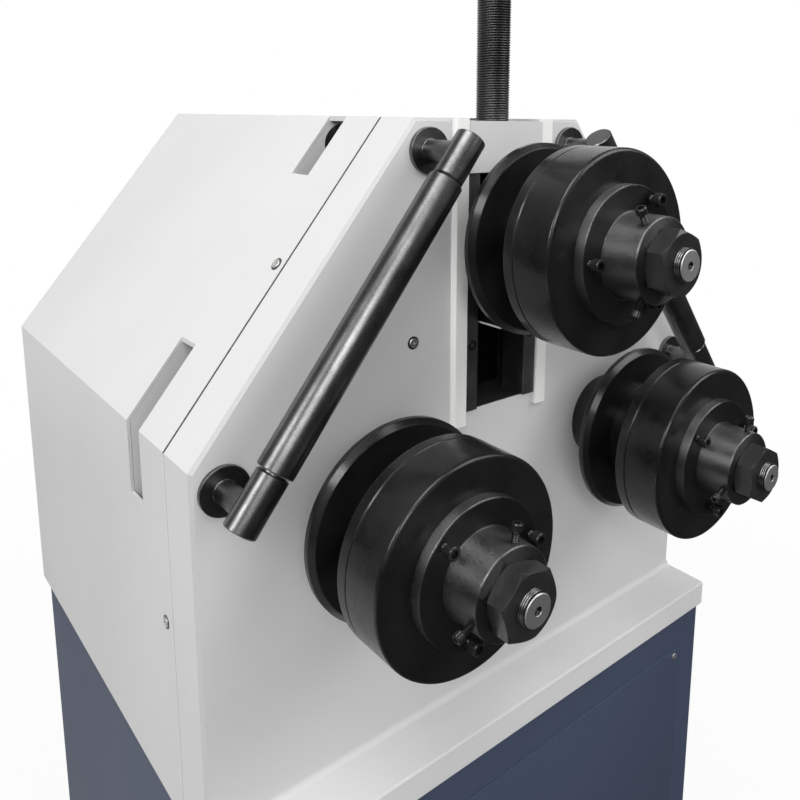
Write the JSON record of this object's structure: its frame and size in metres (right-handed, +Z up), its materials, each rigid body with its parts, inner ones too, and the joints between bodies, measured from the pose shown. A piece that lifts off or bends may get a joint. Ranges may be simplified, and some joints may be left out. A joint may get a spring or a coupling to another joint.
{
  "type": "profile bending machine",
  "caption": "Floor-standing profile bending machine with lower rolls and a screw-fed top roll ahead of a thick front plate, on a sheet cabinet.",
  "frame": {"origin": "on the floor, under the middle of the machine's box", "axes": "+X to the operator's right, +Y from the operator to the back, +Z up"},
  "size_m": [0.5492, 0.6536, 1.286],
  "materials": {
    "light_paint": "light grey satin paint",
    "slate_paint": "slate blue satin paint",
    "plinth_paint": "dark satin paint",
    "black_steel": "black oxide, satin",
    "shaft_steel": "turned bright steel",
    "screw_steel": "oiled machined steel",
    "wheel_black": "black moulded"
  },
  "bodies": {
    "frame": {"cabinet_body": "slate_paint", "cabinet_back_panel": "slate_paint", "cabinet_plinth": "plinth_paint", "bed_tray": "light_paint", "front_plate": "light_paint", "slot_rail_left": "light_paint", "slot_rail_right": "light_paint", "screw_nut_block": "light_paint", "keeper_left": "light_paint", "keeper_right": "light_paint", "housing_cover": "light_paint", "housing_back_panel": "light_paint", "inner_bearing_plate": "light_paint", "tie_rods": "black_steel", "upper_guide_post_left": "black_steel", "upper_guide_post_right": "black_steel", "lower_guide_post_left": "black_steel", "lower_guide_post_right": "black_steel", "guide_tube_left": "black_steel", "guide_tube_right": "black_steel", "bearing_collar_left": "black_steel", "bearing_collar_right": "black_steel"},
    "left_roll": {"left_shaft": "shaft_steel", "left_back_disc": "black_steel", "left_groove_spacer": "black_steel", "left_roll_ring": "black_steel", "left_main_roll": "black_steel", "left_clamp_collar": "black_steel", "left_shaft_nut": "black_steel"},
    "right_roll": {"right_shaft": "shaft_steel", "right_back_disc": "black_steel", "right_groove_spacer": "black_steel", "right_roll_ring": "black_steel", "right_main_roll": "black_steel", "right_clamp_collar": "black_steel", "right_shaft_nut": "black_steel"},
    "carriage": {"carriage_block": "black_steel"},
    "top_roll": {"top_shaft": "shaft_steel", "top_back_disc": "black_steel", "top_groove_spacer": "black_steel", "top_roll_ring": "black_steel", "top_main_roll": "black_steel", "top_clamp_collar": "black_steel", "top_shaft_nut": "black_steel"},
    "feed_screw": {"lead_screw": "screw_steel", "handwheel": "wheel_black"}
  },
  "joints": [
    {"name": "left_roll_spin", "type": "hinge", "parent": "frame", "child": "left_roll", "pos_m": [-0.1374, -0.14215, 0.8031], "axis": [0, -1, 0], "continuous": true},
    {"name": "right_roll_spin", "type": "hinge", "parent": "frame", "child": "right_roll", "pos_m": [0.1374, -0.14215, 0.8031], "axis": [0, -1, 0], "continuous": true},
    {"name": "carriage_feed", "type": "slide", "parent": "frame", "child": "carriage", "axis": [0, 0, -1], "range_m": [0, 0.07]},
    {"name": "top_roll_spin", "type": "hinge", "parent": "carriage", "child": "top_roll", "pos_m": [0, -0.14215, 0.997], "axis": [0, -1, 0], "continuous": true},
    {"name": "feed_screw_turn", "type": "hinge", "parent": "carriage", "child": "feed_screw", "pos_m": [0, -0.12755, 1.092], "axis": [0, 0, -1], "range_deg": [0, 12600]}
  ],
  "couplings": [
    {"joint": "right_roll_spin", "follows": "left_roll_spin", "ratio": 1},
    {"joint": "carriage_feed", "follows": "feed_screw_turn", "m_per_rad": 0.00031831}
  ]
}
